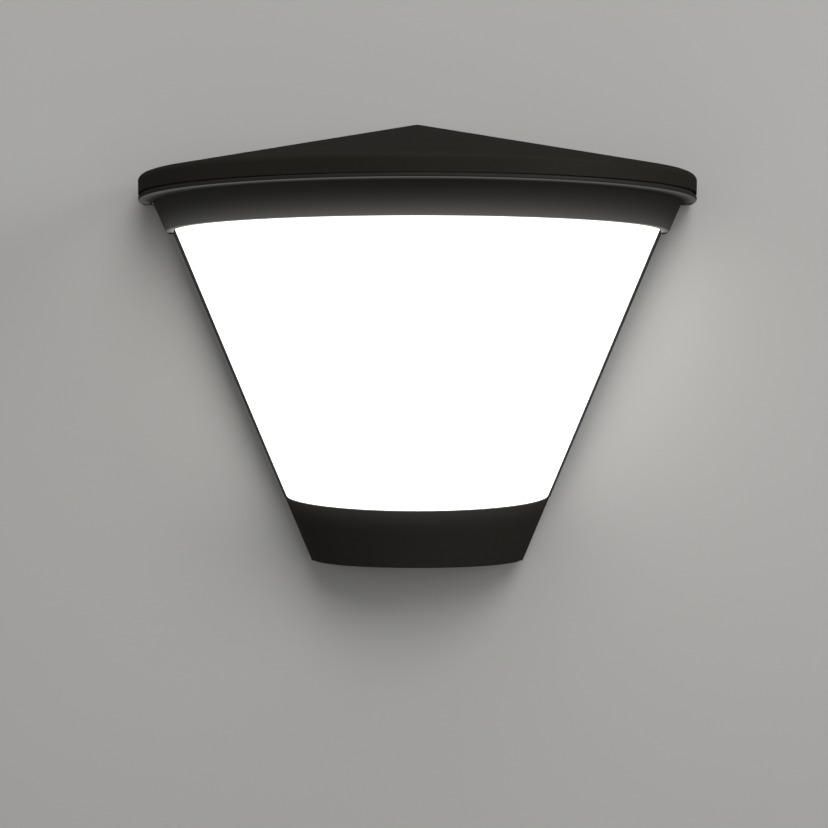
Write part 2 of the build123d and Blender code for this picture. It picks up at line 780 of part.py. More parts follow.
# Terminal block: moulded body with a tower for each pole, clamp sleeves, clamp screws and one fixing screw
with BuildPart() as terminal_block:
    with BuildSketch(at_depth(box_inner_depth - terminal_web_depth)):
        with Locations((terminal_x, terminal_z)):
            Rectangle(terminal_width, terminal_height - 2 * terminal_web_margin)
    extrude(amount=terminal_web_depth)
    with BuildSketch(at_depth(terminal_back)):
        with Locations(*[(x, terminal_z) for x in pole_x]):
            Rectangle(pole_width, terminal_height)
    extrude(amount=terminal_depth)
    with BuildSketch(Plane.XY.offset(terminal_low_z)):
        with Locations(*[(x, -terminal_lead_depth) for x in pole_x]):
            Circle(sleeve_radius + slip)
    extrude(amount=terminal_height, mode=Mode.SUBTRACT)
    with BuildSketch(at_depth(terminal_back)):
        with Locations(*terminal_screw_places):
            Circle(terminal_screw_radius + slip)
    extrude(amount=terminal_depth / 2, mode=Mode.SUBTRACT)
    with BuildSketch(at_depth(terminal_back)):
        with Locations((terminal_fixing_x, terminal_z)):
            Circle(m3_radius + slip)
    extrude(amount=terminal_depth, mode=Mode.SUBTRACT)
    with BuildSketch(at_depth(terminal_back)):
        with Locations((terminal_fixing_x, terminal_z)):
            Circle(m3_head_radius + slip)
    extrude(amount=terminal_depth - terminal_web_depth, mode=Mode.SUBTRACT)
finish(terminal_block, "terminal_block")

with BuildPart() as terminal_sleeves:
    with BuildSketch(Plane.XY.offset(terminal_low_z + sleeve_inset)):
        with Locations(*[(x, -terminal_lead_depth) for x in pole_x]):
            Circle(sleeve_radius)
            Circle(sleeve_bore, mode=Mode.SUBTRACT)
    extrude(amount=terminal_height - 2 * sleeve_inset)
    with BuildSketch(at_depth(terminal_back)):
        with Locations(*terminal_screw_places):
            Circle(terminal_screw_radius + slip)
    extrude(amount=terminal_depth / 2, mode=Mode.SUBTRACT)
finish(terminal_sleeves, "terminal_sleeves")

with BuildPart() as terminal_screws:
    with BuildSketch(at_depth(terminal_back + terminal_screw_inset)):
        with Locations(*terminal_screw_places):
            Circle(terminal_screw_radius)
    extrude(amount=terminal_depth / 2 - terminal_screw_inset - lead_radius - slip)
finish(terminal_screws, "terminal_screws")

with BuildPart() as terminal_fixing_screw:
    screws_along_y([(terminal_fixing_x, terminal_z)], box_inner_depth - terminal_web_depth, m3_head_radius,
                   m3_head_height, m3_radius, terminal_web_depth + box_wall - fit)
finish(terminal_fixing_screw, "terminal_fixing_screw")

# Earth point: ring tag with a crimped tail, clamped on a boss by one screw
with BuildPart() as earth_ring:
    with BuildSketch(at_depth(earth_seat - ring_thickness)):
        with Locations((earth_x, earth_z)):
            Circle(ring_radius)
            Rectangle(ring_tail_width, ring_tail_length, align=(Align.CENTER, Align.MAX))
            Circle(m4_radius + slip, mode=Mode.SUBTRACT)
    extrude(amount=ring_thickness)
    with BuildSketch(Plane.XY.offset(earth_tail_z)):
        with Locations((earth_x, -earth_lead_depth)):
            Circle(ring_tail_width / 2)
            Circle(lead_radius + slip, mode=Mode.SUBTRACT)
    extrude(amount=lead_entry)
finish(earth_ring, "earth_ring")

with BuildPart() as earth_screw:
    screws_along_y([(earth_x, earth_z)], earth_seat - ring_thickness, m4_head_radius, m4_head_height,
                   m4_radius, ring_thickness + earth_boss_length + box_wall - fit)
finish(earth_screw, "earth_screw")

# Rubber bush that takes the two board leads through the wiring box
with BuildPart() as lead_grommet:
    with BuildSketch(at_depth(box_inner_depth - lead_grommet_flange)):
        with Locations((lead_hole_x, lead_hole_z)):
            Circle(lead_hole_radius + lead_grommet_lip)
    extrude(amount=lead_grommet_flange)
    with BuildSketch(at_depth(box_inner_depth)):
        with Locations((lead_hole_x, lead_hole_z)):
            Circle(lead_hole_radius - slip)
    extrude(amount=box_wall)
    with BuildSketch(at_depth(box_depth)):
        with Locations((lead_hole_x, lead_hole_z)):
            Circle(lead_hole_radius + lead_grommet_lip)
    extrude(amount=lead_grommet_flange)
    with BuildSketch(at_depth(box_inner_depth - lead_grommet_flange)):
        with Locations(*[(x, lead_hole_z) for x in led_lead_x]):
            Circle(led_lead_radius + slip)
    extrude(amount=box_wall + 2 * lead_grommet_flange, mode=Mode.SUBTRACT)
finish(lead_grommet, "lead_grommet")


def lead_radii(route):
    """Largest bend at each corner that its two runs leave room for."""
    radii = []
    for before, here, after in zip(route, route[1:], route[2:]):
        arriving = Vector(*here) - Vector(*before)
        leaving = Vector(*after) - Vector(*here)
        turn = math.radians(arriving.get_angle(leaving))
        radii.append(bend_share * min(arriving.length, leaving.length) / math.tan(turn / 2))
    return radii


def lead(route, radius, name):
    """Insulated lead along a route of (x, depth, z) points."""
    points = [(x, -depth, z) for x, depth, z in route]
    radii = lead_radii(points)
    with BuildPart() as tube:
        with BuildLine() as path:
            FilletPolyline(*points, radius=radii)
        with BuildSketch(Plane(origin=path.line @ 0, z_dir=path.line % 0)):
            Circle(radius)
        sweep()
    section_volume = math.pi * radius**2 * sum(edge.length for edge in path.line.edges())
    print(name, "bends", [round(r, 1) for r in radii], "volume", round(tube.part.volume / section_volume, 4))
    finish(tube, name)


# Leads from the clamps to the driver and to the earth ring, in a shallow bow clear of the cable's way in
lead_depth = box_inner_depth - driver_depth / 2
clamp_entry_z = terminal_low_z + lead_entry
for pole, name in ((0, "live_lead"), (1, "neutral_lead")):
    clamp_x = pole_x[pole]
    case_x = clamp_x + (1 - pole) * lead_fall / 2 + lead_fall / 2
    lead(
        [
            (clamp_x, terminal_lead_depth, clamp_entry_z),
            (clamp_x, terminal_lead_depth, terminal_low_z - lead_fall),
            (case_x, lead_depth, driver_top_z + lead_fall),
            (case_x, lead_depth, driver_top_z),
        ],
        lead_radius,
        name,
    )

lead(
    [
        (pole_x[2], terminal_lead_depth, clamp_entry_z),
        (pole_x[2], terminal_lead_depth, terminal_low_z - lead_fall),
        ((pole_x[2] + earth_x) / 2, terminal_lead_depth, terminal_low_z - lead_bow),
        (earth_x, earth_lead_depth, earth_tail_z - lead_fall),
        (earth_x, earth_lead_depth, earth_tail_z + lead_entry),
    ],
    lead_radius,
    "earth_lead",
)

# Leads from the driver, through the bush, to the connector on the board
for x, name in zip(led_lead_x, ("led_plus_lead", "led_minus_lead")):
    lead(
        [
            (x, lead_depth - lead_fall / 2, driver_top_z),
            (x, lead_depth - lead_fall / 2, lead_hole_z),
            (x, connector_lead_depth, lead_hole_z),
            (x, connector_lead_depth, connector_low_z + lead_entry - slip),
        ],
        led_lead_radius,
        name,
    )
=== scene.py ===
import math

import bmesh
import bpy
from mathutils import Matrix, Vector


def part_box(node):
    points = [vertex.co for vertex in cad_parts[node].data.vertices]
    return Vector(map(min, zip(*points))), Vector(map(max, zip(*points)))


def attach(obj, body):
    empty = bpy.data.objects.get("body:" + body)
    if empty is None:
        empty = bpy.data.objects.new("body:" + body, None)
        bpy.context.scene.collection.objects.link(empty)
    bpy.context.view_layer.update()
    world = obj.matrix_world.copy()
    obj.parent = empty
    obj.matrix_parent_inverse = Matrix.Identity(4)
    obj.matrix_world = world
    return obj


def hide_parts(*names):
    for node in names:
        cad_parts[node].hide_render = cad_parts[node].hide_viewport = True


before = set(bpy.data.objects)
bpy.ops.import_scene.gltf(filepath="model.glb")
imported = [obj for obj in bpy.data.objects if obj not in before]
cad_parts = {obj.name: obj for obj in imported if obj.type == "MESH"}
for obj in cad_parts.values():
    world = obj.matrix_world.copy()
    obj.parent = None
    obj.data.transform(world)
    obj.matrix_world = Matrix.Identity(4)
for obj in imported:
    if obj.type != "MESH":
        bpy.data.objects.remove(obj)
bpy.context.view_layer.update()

# Studio: a pale painted panel that the lamp hangs on, above a pale floor. Each is seen from its
# front only, so that the back and the underside of the lamp can be looked at as well.
panel_depth = 0.0006
floor_level = -0.30
studio_reach = 4.0
paper_tone = (0.50, 0.495, 0.48, 1.0)
paper_shade = (0.46, 0.455, 0.445, 1.0)
paper_clouds = 2.0


def new_finish(name, fixed):
    """New material with fixed shader values, together with its node tree and its shader."""
    material = bpy.data.materials.new(name)
    material.use_nodes = True
    shader = material.node_tree.nodes["Principled BSDF"]
    for socket, value in fixed.items():
        shader.inputs[socket].default_value = value
    return material, material.node_tree, shader


def feed(tree, value, socket):
    """Links a value that comes from a socket, or sets a fixed one."""
    if isinstance(value, bpy.types.NodeSocket):
        tree.links.new(value, socket)
    else:
        socket.default_value = value


def object_place(tree):
    """Place on the piece, in its own coordinates."""
    return tree.nodes.new("ShaderNodeTexCoord").outputs["Object"]


def noise_at(tree, place, scale, detail=2.0):
    """Noise of the given scale at a place."""
    noise = tree.nodes.new("ShaderNodeTexNoise")
    noise.inputs["Detail"].default_value = detail
    feed(tree, scale, noise.inputs["Scale"])
    tree.links.new(place, noise.inputs["Vector"])
    return noise.outputs["Fac"]


def colour_mix(tree, share, first, second):
    """Mixes two colours by a share."""
    mix = tree.nodes.new("ShaderNodeMix")
    mix.data_type = "RGBA"
    tree.links.new(share, mix.inputs["Factor"])
    feed(tree, first, mix.inputs["A"])
    feed(tree, second, mix.inputs["B"])
    return mix.outputs["Result"]


paper, tree, shader = new_finish("studio_paper", {"Roughness": 0.9, "Specular IOR Level": 0.2})
cloudy = noise_at(tree, object_place(tree), paper_clouds)
tree.links.new(colour_mix(tree, cloudy, paper_tone, paper_shade), shader.inputs["Base Color"])
clear = tree.nodes.new("ShaderNodeBsdfTransparent")
side = tree.nodes.new("ShaderNodeNewGeometry")
one_sided = tree.nodes.new("ShaderNodeMixShader")
tree.links.new(side.outputs["Backfacing"], one_sided.inputs["Fac"])
tree.links.new(shader.outputs["BSDF"], one_sided.inputs[1])
tree.links.new(clear.outputs["BSDF"], one_sided.inputs[2])
tree.links.new(one_sided.outputs["Shader"], tree.nodes["Material Output"].inputs["Surface"])

for name, stand in (
    ("studio_floor", Matrix.Translation((0, 0, floor_level))),
    ("studio_panel", Matrix.Translation((0, panel_depth, 0)) @ Matrix.Rotation(math.radians(90), 4, "X")),
):
    sheet = bmesh.new()
    bmesh.ops.create_grid(sheet, x_segments=1, y_segments=1, size=studio_reach)
    bmesh.ops.transform(sheet, matrix=stand, verts=sheet.verts)
    ground = bpy.data.objects.new(name, bpy.data.meshes.new(name))
    sheet.to_mesh(ground.data)
    sheet.free()
    ground.data.materials.append(paper)
    bpy.context.scene.collection.objects.link(ground)
    ground.visible_shadow = False
    ground.visible_diffuse = False
    ground.visible_glossy = False
    ground.visible_transmission = False


# Light: a pale sky, brightest overhead and darker low down and behind the wall, with soft lamps above
# the front, at both sides, behind and overhead, and one below for the light that a floor throws back.
sky_tone = (1.0, 0.995, 0.985, 1.0)
sky_low_light = 0.12
sky_top_light = 0.42
sky_low_height = -0.6
sky_top_height = 0.75
sky_wall_light = 0.22
sky_wall_depth = 0.5
lamp_middle = Vector((0, -0.05, 0))


def split(tree, vector):
    """The X, Y and Z of a vector."""
    parts = tree.nodes.new("ShaderNodeSeparateXYZ")
    tree.links.new(vector, parts.inputs["Vector"])
    return parts.outputs


def spread(tree, value, low, high, to_low=0.0, to_high=1.0):
    """Stretches the part of a value between low and high over a new range."""
    remap = tree.nodes.new("ShaderNodeMapRange")
    tree.links.new(value, remap.inputs["Value"])
    feed(tree, low, remap.inputs["From Min"])
    feed(tree, high, remap.inputs["From Max"])
    feed(tree, to_low, remap.inputs["To Min"])
    feed(tree, to_high, remap.inputs["To Max"])
    return remap.outputs["Result"]


def math_step(tree, operation, *values):
    """Puts values through one mathematical operation."""
    step = tree.nodes.new("ShaderNodeMath")
    step.operation = operation
    for socket, value in zip(step.inputs, values):
        feed(tree, value, socket)
    return step.outputs["Value"]


sky = bpy.data.worlds.new("studio_sky")
bpy.context.scene.world = sky
sky.use_nodes = True
tree = sky.node_tree
heading = split(tree, tree.nodes.new("ShaderNodeTexCoord").outputs["Generated"])
by_height = spread(tree, heading["Z"], sky_low_height, sky_top_height, sky_low_light, sky_top_light)
by_wall = spread(tree, heading["Y"], 0.0, sky_wall_depth, 1.0, sky_wall_light)
tree.links.new(math_step(tree, "MULTIPLY", by_height, by_wall), tree.nodes["Background"].inputs["Strength"])
tree.nodes["Background"].inputs["Color"].default_value = sky_tone

for name, stand, size, power in (
    ("key_lamp", (0.35, -1.35, 1.00), 1.0, 14.0),
    ("right_lamp", (2.6, -1.2, 0.6), 1.6, 30.0),
    ("left_lamp", (-2.6, -1.2, 0.4), 1.6, 10.0),
    ("floor_bounce", (0.0, 0.0, -1.2), 0.9, 1.6),
    ("rear_lamp", (0.0, 0.65, 0.0), 0.2, 4.0),
    ("top_lamp", (-0.6, 0.1, 1.5), 0.7, 1.5),
):
    light = bpy.data.lights.new(name, "AREA")
    light.shape = "DISK"
    light.size = size
    light.energy = power
    source = bpy.data.objects.new(name, light)
    source.location = stand
    source.rotation_euler = (lamp_middle - Vector(stand)).to_track_quat("-Z", "Y").to_euler()
    bpy.context.scene.collection.objects.link(source)


# Camera: level with the lamp's wall screws, close to it and tipped down a little, with a lens that
# takes in the lamp and some of the panel round it.
camera_place = (-0.0015, -0.634, 0.0)
camera_tip = 3.80
camera_sensor = 36.0
camera_lens = 59.9
view = bpy.data.cameras.new("photo_camera")
view.sensor_width = camera_sensor
view.lens = camera_lens
camera = bpy.data.objects.new("photo_camera", view)
camera.location = camera_place
camera.rotation_euler = (math.radians(90 - camera_tip), 0, 0)
bpy.context.scene.collection.objects.link(camera)
bpy.context.scene.camera = camera
bpy.context.scene.view_settings.view_transform = "Standard"


# Wall bracket: a strap and bar of 2 mm steel, punched, bent and zinc plated, screwed to the wall.
# The plating is cloudy, with faint rolling streaks along the sheet and soft bent edges.
zinc_tone = (0.50, 0.52, 0.54, 1.0)
zinc_stain = (0.38, 0.40, 0.43, 1.0)
stain_range = (0.38, 0.66)
noise_range = (0.3, 0.7)
surface_outputs = (("Color", "Color"), ("Roughness", "Float"), ("Height", "Float"))
edge_samples = 4


def effect_group(name, inputs, outputs=surface_outputs):
    """Empty effect: its tree, what it takes in, what it gives out and the place on the piece."""
    group = bpy.data.node_groups.new(name, "ShaderNodeTree")
    for way, sockets in (("INPUT", inputs), ("OUTPUT", outputs)):
        for socket, kind in sockets:
            group.interface.new_socket(socket, in_out=way, socket_type="NodeSocket" + kind)
    taken = group.nodes.new("NodeGroupInput")
    given = group.nodes.new("NodeGroupOutput")
    return group, taken.outputs, given.inputs, object_place(group)


plating, taken, given, place = effect_group("plating_marks", (
    ("Tone", "Color"), ("Stain", "Color"), ("Cloud Scale", "Float"), ("Streaks", "Vector"),
    ("Rough Low", "Float"), ("Rough High", "Float"),
))
stained = spread(plating, noise_at(plating, place, taken["Cloud Scale"], detail=6.0), *stain_range)
drawn = plating.nodes.new("ShaderNodeMapping")
plating.links.new(place, drawn.inputs["Vector"])
plating.links.new(taken["Streaks"], drawn.inputs["Scale"])
streaks = noise_at(plating, drawn.outputs["Vector"], 1.0, detail=3.0)
dulled = spread(plating, streaks, *noise_range, taken["Rough Low"], taken["Rough High"])
plating.links.new(colour_mix(plating, stained, taken["Tone"], taken["Stain"]), given["Color"])
plating.links.new(dulled, given["Roughness"])
plating.links.new(streaks, given["Height"])


def placed(tree, effect, values):
    """Places an effect with its own values in a material."""
    worked = tree.nodes.new("ShaderNodeGroup")
    worked.node_tree = effect
    for socket, value in values.items():
        worked.inputs[socket].default_value = value
    return worked.outputs


def emboss(tree, shader, height, relief):
    """Gives a shader a relief of the given depth."""
    bump = tree.nodes.new("ShaderNodeBump")
    bump.inputs["Distance"].default_value = relief
    tree.links.new(height, bump.inputs["Height"])
    tree.links.new(bump.outputs["Normal"], shader.inputs["Normal"])
    return bump


def dressed(name, effect, values, relief, edge, fixed):
    """Material with an effect's colour, roughness and relief, softened edges and fixed shader values."""
    material, tree, shader = new_finish(name, fixed)
    worked = placed(tree, effect, values)
    tree.links.new(worked["Color"], shader.inputs["Base Color"])
    tree.links.new(worked["Roughness"], shader.inputs["Roughness"])
    rounded = tree.nodes.new("ShaderNodeBevel")
    rounded.samples = edge_samples
    rounded.inputs["Radius"].default_value = edge
    bump = emboss(tree, shader, worked["Height"], relief)
    tree.links.new(rounded.outputs["Normal"], bump.inputs["Normal"])
    return material


def dress(node, material):
    """Gives a carried-over piece its finish."""
    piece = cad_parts[node]
    piece.data.materials.clear()
    piece.data.materials.append(material)


zinc = dressed("zinc_plate", plating, {
    "Tone": zinc_tone, "Stain": zinc_stain, "Cloud Scale": 140.0, "Streaks": (2600.0, 900.0, 60.0),
    "Rough Low": 0.30, "Rough High": 0.48,
}, relief=0.00002, edge=0.0004, fixed={"Metallic": 1.0})
dress("wall_bracket", zinc)


# Cable bush: moulded black rubber, buttoned into the bracket's cable hole by its groove.
# Rubber is matt, a little dusty grey, with a fine skin from the mould.
rubber_tone = (0.017, 0.017, 0.017, 1.0)
rubber_bloom = (0.034, 0.033, 0.032, 1.0)
drift_scale = 70.0
drift_range = (0.35, 0.7)

moulded, taken, given, place = effect_group("moulded_skin", (
    ("Tone", "Color"), ("Shade", "Color"), ("Grain Scale", "Float"),
    ("Rough Low", "Float"), ("Rough High", "Float"),
))
grain = noise_at(moulded, place, taken["Grain Scale"], detail=4.0)
drifted = spread(moulded, noise_at(moulded, place, drift_scale), *drift_range)
skin = spread(moulded, grain, *noise_range, taken["Rough Low"], taken["Rough High"])
moulded.links.new(colour_mix(moulded, drifted, taken["Tone"], taken["Shade"]), given["Color"])
moulded.links.new(skin, given["Roughness"])
moulded.links.new(grain, given["Height"])

rubber = dressed("black_rubber", moulded, {
    "Tone": rubber_tone, "Shade": rubber_bloom, "Grain Scale": 2200.0, "Rough Low": 0.62, "Rough High": 0.80,
}, relief=0.00003, edge=0.0003, fixed={"Specular IOR Level": 0.35})
dress("cable_grommet", rubber)


# Housing: an aluminium casting, collar, flange, rear frame and wiring box in one, powder coated in
# anthracite. The coat is satin, with a very fine orange peel, small lighter specks painted in as glints
# and a breath of dust on what faces up.
# The opal's light on the collar is painted into the coat as a glow, strongest near its lip, and on the
# undersides of flange and lip.
coat_tone = (0.0150, 0.0137, 0.0109, 1.0)
coat_painted_glint = (0.0210, 0.0193, 0.0156, 1.0)
dust_tone = (0.0185, 0.0170, 0.0138, 1.0)
coat_relief = 0.00003
coat_edge = 0.0004
coat_gloss = {"Specular IOR Level": 0.20}
wash_scale = 22.0
speckle_scale = 3400.0
speckle_range = (0.58, 0.74)
dust_slope = 0.55
dust_most = 0.45

coated, taken, given, place = effect_group("coat_grain", (
    ("Tone", "Color"), ("Light", "Color"), ("Dust", "Color"), ("Peel Scale", "Float"),
    ("Rough Low", "Float"), ("Rough High", "Float"),
))
wash = noise_at(coated, place, wash_scale, detail=3.0)
# Small lighter specks: glints painted into the coat's colour.
painted_glint_specks = spread(coated, noise_at(coated, place, speckle_scale, detail=1.0), *speckle_range)
coat_with_glints = colour_mix(coated, painted_glint_specks, taken["Tone"], taken["Light"])
facing = split(coated, coated.nodes.new("ShaderNodeNewGeometry").outputs["Normal"])
skyward = spread(coated, facing["Z"], dust_slope, 1.0, 0.0, dust_most)
dusting = math_step(coated, "MULTIPLY", skyward, wash)
satin = spread(coated, wash, *noise_range, taken["Rough Low"], taken["Rough High"])
coated.links.new(colour_mix(coated, dusting, coat_with_glints, taken["Dust"]), given["Color"])
coated.links.new(satin, given["Roughness"])
coated.links.new(noise_at(coated, place, taken["Peel Scale"]), given["Height"])

coat_values = {
    "Tone": coat_tone, "Light": coat_painted_glint, "Dust": dust_tone, "Peel Scale": 1500.0,
    "Rough Low": 0.56, "Rough High": 0.68,
}

# The opal's light, painted on the coat as a glow: its tone, and where and how strongly it lies.
painted_glow_tone = (1.0, 0.985, 0.95)
collar_top = 0.0533
lip_level = 0.0402
frame_front = -0.0130
collar_front = -0.110
collar_end_share = 0.30
underside_slopes = (-0.6, -0.9)
flange_levels = (0.0495, 0.0515)
flange_reaches = (0.1195, 0.1242)
flange_root_share = 0.15
flange_front = -0.060
flange_end_share = 0.65
lip_levels = (0.0440, 0.0415)
lip_reaches = (0.1132, 0.1103)
lip_edge_share = 0.12


def product(tree, first, *others):
    """Multiplies values one after another."""
    for other in others:
        first = math_step(tree, "MULTIPLY", first, other)
    return first


def scaled(tree, colour, strength):
    """A colour times a strength."""
    step = tree.nodes.new("ShaderNodeVectorMath")
    step.operation = "SCALE"
    feed(tree, colour, step.inputs[0])
    tree.links.new(strength, step.inputs["Scale"])
    return step.outputs["Vector"]


# Painted glow: the opal's light on the coat, painted into its emission colour, brightest near the lip,
# weaker towards the wall, and in bands under the flange and the lip.
painted_glow, taken, given, place = effect_group("opal_painted_glow", [
    (socket, "Float") for socket in ("Top", "Bottom", "Power", "Even", "Wall", "Underside", "Lip")
], [("Color", "Color")])
axes = split(painted_glow, place)
flat = painted_glow.nodes.new("ShaderNodeVectorMath")
flat.operation = "MULTIPLY"
flat.inputs[1].default_value = (1.0, 1.0, 0.0)
length = painted_glow.nodes.new("ShaderNodeVectorMath")
length.operation = "LENGTH"
painted_glow.links.new(place, flat.inputs[0])
painted_glow.links.new(flat.outputs["Vector"], length.inputs[0])
reach = length.outputs["Value"]
facing = split(painted_glow, painted_glow.nodes.new("ShaderNodeNewGeometry").outputs["Normal"])
downward = spread(painted_glow, facing["Z"], *underside_slopes)

painted_glow_fall = math_step(painted_glow, "POWER", spread(painted_glow, axes["Z"], taken["Top"], taken["Bottom"]), taken["Power"])
below_top = math_step(painted_glow, "LESS_THAN", axes["Z"], taken["Top"])
wall = math_step(painted_glow, "ADD", painted_glow_fall, product(painted_glow, below_top, taken["Even"]))
wall = product(painted_glow, wall, taken["Wall"],
               spread(painted_glow, axes["Y"], frame_front, collar_front, collar_end_share, 1.0))
painted_flange_glow = product(
    painted_glow, downward,
    spread(painted_glow, axes["Z"], *flange_levels),
    spread(painted_glow, reach, *flange_reaches, flange_root_share, 1.0),
    spread(painted_glow, axes["Y"], frame_front, flange_front, flange_end_share, 1.0),
    taken["Underside"],
)
painted_lip_glow = product(
    painted_glow, downward,
    spread(painted_glow, axes["Z"], *lip_levels),
    spread(painted_glow, reach, *lip_reaches, lip_edge_share, 1.0),
    taken["Lip"],
)
painted_glow_amount = math_step(painted_glow, "ADD", wall, math_step(painted_glow, "ADD", painted_flange_glow, painted_lip_glow))
painted_glow_amount = product(painted_glow, painted_glow_amount, math_step(painted_glow, "LESS_THAN", axes["Y"], frame_front))
painted_glow.links.new(scaled(painted_glow, painted_glow_tone, painted_glow_amount), given["Color"])


def coat_with_painted_glow(name, values):
    """The coat of a piece beside the lit opal, with the opal's light painted on it as a glow."""
    material = dressed(name, coated, coat_values, coat_relief, coat_edge, coat_gloss)
    tree = material.node_tree
    shader = tree.nodes["Principled BSDF"]
    shader.inputs["Emission Strength"].default_value = 1.0
    tree.links.new(placed(tree, painted_glow, values)["Color"], shader.inputs["Emission Color"])
    return material


dress("housing", coat_with_painted_glow("collar_coat_painted_glow", {
    "Top": collar_top, "Bottom": lip_level, "Power": 2.9, "Even": 0.065, "Wall": 0.083,
    "Underside": 0.09, "Lip": 0.22,
}))


# Wall gasket: a frame of black closed-cell foam, stuck to the housing's rear edge.
# Its cut cells leave a fine pitted face, with the pits painted darker as shade.
foam_tone = (0.022, 0.022, 0.022, 1.0)
foam_pit_shade = (0.010, 0.010, 0.010, 1.0)
foam_cells = 1300.0
foam_relief = 0.00015

foam, tree, shader = new_finish("closed_cell_foam", {"Roughness": 0.88, "Specular IOR Level": 0.2})
cells = tree.nodes.new("ShaderNodeTexVoronoi")
cells.inputs["Scale"].default_value = foam_cells
tree.links.new(object_place(tree), cells.inputs["Vector"])
pit_depth_and_shade = cells.outputs["Distance"]
# The darker colour in the pits is painted shade.
tree.links.new(colour_mix(tree, pit_depth_and_shade, foam_pit_shade, foam_tone), shader.inputs["Base Color"])
emboss(tree, shader, pit_depth_and_shade, foam_relief)
dress("wall_gasket", foam)


# Base cup: a second casting in the same coat, which carries the cone on below the opal.
# Two screws hold it from behind the frame, and the opal's light is painted on its rim as a glow.
cup_top = -0.0790
cup_painted_glow_end = -0.0900
# The opal's light is painted on the cup's rim as a glow.
dress("base_cup", coat_with_painted_glow("cup_coat_painted_glow", {
    "Top": cup_painted_glow_end, "Bottom": cup_top, "Power": 2.0, "Even": 0.0, "Wall": 0.028,
    "Underside": 0.0, "Lip": 0.0,
}))


# Case screws: stainless pan heads with a cross recess. Two clamp the roof's tongue, two hold the
# cup, and one locks the lamp to its bracket from below.
steel_tone = (0.55, 0.55, 0.54, 1.0)
steel_stain = (0.46, 0.455, 0.44, 1.0)
m4 = {"head_radius": 0.0035, "head_height": 0.0024, "radius": 0.0020, "pitch": 0.0007}
turned_sides = 32
thread_share = 0.14
point_share = 0.7
pan_profile = ((1.0, 0.0), (1.0, 0.45), (0.95, 0.72), (0.80, 0.92), (0.62, 1.0))
recess_reach = 0.52
recess_half_width = 0.13
recess_depth = 0.62
recess_floor = 0.72
weld_share = 1e-4
to_front = Vector((0, -1, 0))
upward = Vector((0, 0, 1))

stainless = dressed("stainless_steel", plating, {
    "Tone": steel_tone, "Stain": steel_stain, "Cloud Scale": 500.0, "Streaks": (3000.0, 3000.0, 3000.0),
    "Rough Low": 0.22, "Rough High": 0.36,
}, relief=0.000006, edge=0.00012, fixed={"Metallic": 1.0})


def add_screw(mesh, seat, driven, length, head_radius, head_height, radius, pitch):
    """Adds a pan head screw with a cross recess, seated under its head and driven along a direction."""
    root = radius * (1 - thread_share)
    turns = int((length - radius) / pitch)
    outline = [(0.0, -length), (root * point_share, -length)]
    for turn in range(turns):
        low = -length + radius / 2 + turn * pitch
        outline += [(root, low), (radius, low + pitch / 2)]
    outline += [(root, -length + radius / 2 + turns * pitch), (root, 0.0)]
    outline += [(head_radius * across, head_height * up) for across, up in pan_profile]
    part = bmesh.new()
    corners = [part.verts.new((r, 0, z)) for r, z in outline]
    edges = [part.edges.new(pair) for pair in zip(corners, corners[1:])]
    bmesh.ops.spin(part, geom=corners + edges, cent=(0, 0, 0), axis=(0, 0, 1), angle=math.tau,
                   steps=turned_sides, use_merge=True)
    bmesh.ops.remove_doubles(part, verts=part.verts, dist=head_radius * weld_share)
    rim = [edge for edge in part.edges if edge.is_boundary]
    arm_length = head_radius * recess_reach
    arm_width = head_radius * recess_half_width
    cross = bmesh.ops.create_circle(part, cap_ends=False, radius=1.0, segments=turned_sides)["verts"]
    for corner in cross:
        angle = math.atan2(corner.co.y, corner.co.x)
        off_arm = (angle + math.pi / 4) % (math.pi / 2) - math.pi / 4
        far = min(arm_length / math.cos(off_arm), arm_width / max(abs(math.sin(off_arm)), 1e-6))
        corner.co = (far * math.cos(angle), far * math.sin(angle), head_height)
    mouth = list({edge for corner in cross for edge in corner.link_edges})
    bmesh.ops.bridge_loops(part, edges=rim + mouth)
    sunk = bmesh.ops.extrude_edge_only(part, edges=mouth)["geom"]
    floor = [item for item in sunk if isinstance(item, bmesh.types.BMVert)]
    bmesh.ops.scale(part, vec=(recess_floor, recess_floor, 1.0), verts=floor)
    bmesh.ops.translate(part, vec=(0, 0, -head_height * recess_depth), verts=floor)
    bmesh.ops.contextual_create(part, geom=[e for e in sunk if isinstance(e, bmesh.types.BMEdge)
                                            and e.is_boundary])
    bmesh.ops.recalc_face_normals(part, faces=part.faces)
    turn = (-driven).to_track_quat("Z", "Y").to_matrix().to_4x4()
    bmesh.ops.transform(part, matrix=Matrix.Translation(seat) @ turn, verts=part.verts)
    loose = bpy.data.meshes.new("screw")
    part.to_mesh(loose)
    part.free()
    mesh.from_mesh(loose)
    bpy.data.meshes.remove(loose)


def settle(name, mesh, materials, nodes, crease=35.0):
    """Makes a modelled mesh a piece of the lamp that stands for the named pieces."""
    piece = bpy.data.objects.new(name, bpy.data.meshes.new(name))
    mesh.to_mesh(piece.data)
    mesh.free()
    for material in materials:
        piece.data.materials.append(material)
    piece.data.polygons.foreach_set("use_smooth", [True] * len(piece.data.polygons))
    piece.data.set_sharp_from_angle(angle=math.radians(crease))
    bpy.context.scene.collection.objects.link(piece)
    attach(piece, "lamp")
    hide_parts(*nodes)


def settle_screws(node, seats, driven, length, size):
    """Sets screws of one size and length in the seats of a piece's plain ones."""
    group = bmesh.new()
    for seat in seats:
        add_screw(group, Vector(seat), driven, length, **size)
    settle(node + "_turned", group, [stainless], [node])


for node in ("cap_screws", "base_screws"):
    low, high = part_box(node)
    under_head = high.y - m4["head_height"]
    row = (low.x + m4["head_radius"], high.x - m4["head_radius"])
    seats = [(x, under_head, (low.z + high.z) / 2) for x in row]
    settle_screws(node, seats, to_front, under_head - low.y, m4)

